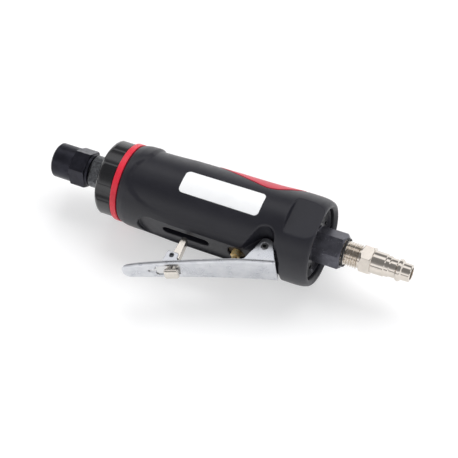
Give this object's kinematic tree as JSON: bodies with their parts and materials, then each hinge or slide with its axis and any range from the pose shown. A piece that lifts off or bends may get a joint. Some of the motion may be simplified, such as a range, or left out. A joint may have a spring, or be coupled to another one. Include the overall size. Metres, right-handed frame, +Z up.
{
  "type": "pneumatic die grinder",
  "caption": "Air-driven die grinder with a black moulded grip, red ring, collet nut at the front, sprung steel throttle lever with a lock-off latch, and a quick-connect air plug at the rear.",
  "frame": {"origin": "centre of the overall box at rest; the spindle axis is 14.05 mm towards +Y from it, in the plane Z = 0", "axes": "+X along the spindle axis from the collet nut towards the air inlet, the throttle lever points to -Y, +Z up with the tool lying on its side"},
  "size_m": [0.208, 0.0764, 0.0484],
  "materials": {
    "grip_black": "fine matte texture, moulded glass-filled nylon",
    "gloss_black": "glossy black",
    "signal_red": "satin red",
    "black_oxide": "black oxide over machined steel",
    "ground_steel": "ground steel",
    "satin_chrome": "satin chrome on pressed sheet",
    "nickel": "bright nickel, slightly warm",
    "brass": "machined brass",
    "aluminium": "turned",
    "cast_iron": "ground",
    "rubber": "matte",
    "phenolic": "woven phenolic laminate",
    "felt": "pressed felt",
    "label_white": "smooth blank label"
  },
  "bodies": {
    "housing": {"grip_housing": "grip_black", "label_plate": "label_white", "red_inlay": "signal_red", "front_cap": "gloss_black", "red_ring": "signal_red", "motor_sleeve": "aluminium", "motor_cylinder": "cast_iron", "front_end_plate": "cast_iron", "rear_end_plate": "cast_iron", "cylinder_dowel": "ground_steel", "front_bearing_outer_ring": "ground_steel", "rear_bearing_outer_ring": "ground_steel", "bearing_clamp_ring": "aluminium", "dust_seal": "felt", "preload_washer": "ground_steel", "lever_pin": "ground_steel", "valve_bush": "brass", "valve_stem_oring": "rubber", "valve_spring": "ground_steel", "muffler_felt": "felt", "exhaust_cover": "gloss_black", "inlet_bushing": "black_oxide", "inlet_screen": "brass", "inlet_oring": "rubber", "air_plug": "nickel"},
    "spindle": {"rotor_spindle": "ground_steel", "vane_1": "phenolic", "vane_2": "phenolic", "vane_3": "phenolic", "vane_4": "phenolic", "vane_5": "phenolic", "front_bearing_inner_ring": "ground_steel", "rear_bearing_inner_ring": "ground_steel"},
    "front_ball_set": {"front_bearing_balls": "ground_steel"},
    "rear_ball_set": {"rear_bearing_balls": "ground_steel"},
    "collet_body": {"collet": "ground_steel"},
    "nut": {"collet_nut": "black_oxide"},
    "lever": {"throttle_lever": "satin_chrome", "latch_pin": "ground_steel", "latch_spring": "ground_steel"},
    "latch": {"lock_off_latch": "nickel"},
    "valve": {"valve_stem": "brass", "valve_poppet": "rubber"}
  },
  "joints": [
    {"name": "spindle_spin", "type": "hinge", "parent": "housing", "child": "spindle", "pos_m": [-0.0275, 0.01405, 0], "axis": [1, 0, 0], "continuous": true},
    {"name": "front_balls_roll", "type": "hinge", "parent": "housing", "child": "front_ball_set", "pos_m": [-0.053, 0.01405, 0], "axis": [1, 0, 0], "continuous": true},
    {"name": "rear_balls_roll", "type": "hinge", "parent": "housing", "child": "rear_ball_set", "pos_m": [-0.0038, 0.01405, 0], "axis": [1, 0, 0], "continuous": true},
    {"name": "collet_slide", "type": "slide", "parent": "spindle", "child": "collet_body", "axis": [-1, 0, 0], "range_m": [0, 0.002]},
    {"name": "nut_turn", "type": "hinge", "parent": "collet_body", "child": "nut", "pos_m": [-0.0925, 0.01405, 0], "axis": [-1, 0, 0], "range_deg": [0, 720]},
    {"name": "throttle_press", "type": "hinge", "parent": "housing", "child": "lever", "pos_m": [0.0297, -0.00205, 0], "axis": [0, 0, -1], "range_deg": [0, 10]},
    {"name": "latch_fold", "type": "hinge", "parent": "lever", "child": "latch", "pos_m": [-0.0143, -0.02325, 0], "axis": [0, 0, -1], "range_deg": [0, 32]},
    {"name": "valve_stem_slide", "type": "slide", "parent": "housing", "child": "valve", "axis": [0, 1, 0], "range_m": [0, 0.00303], "deforming": ["valve_spring"]}
  ],
  "couplings": [
    {"joint": "front_balls_roll", "follows": "spindle_spin", "ratio": 0.4327},
    {"joint": "rear_balls_roll", "follows": "spindle_spin", "ratio": 0.437},
    {"joint": "nut_turn", "follows": "collet_slide", "rad_per_m": 6283},
    {"joint": "latch_fold", "follows": "throttle_press", "ratio": 3.2},
    {"joint": "valve_stem_slide", "follows": "throttle_press", "m_per_rad": 0.01729}
  ]
}
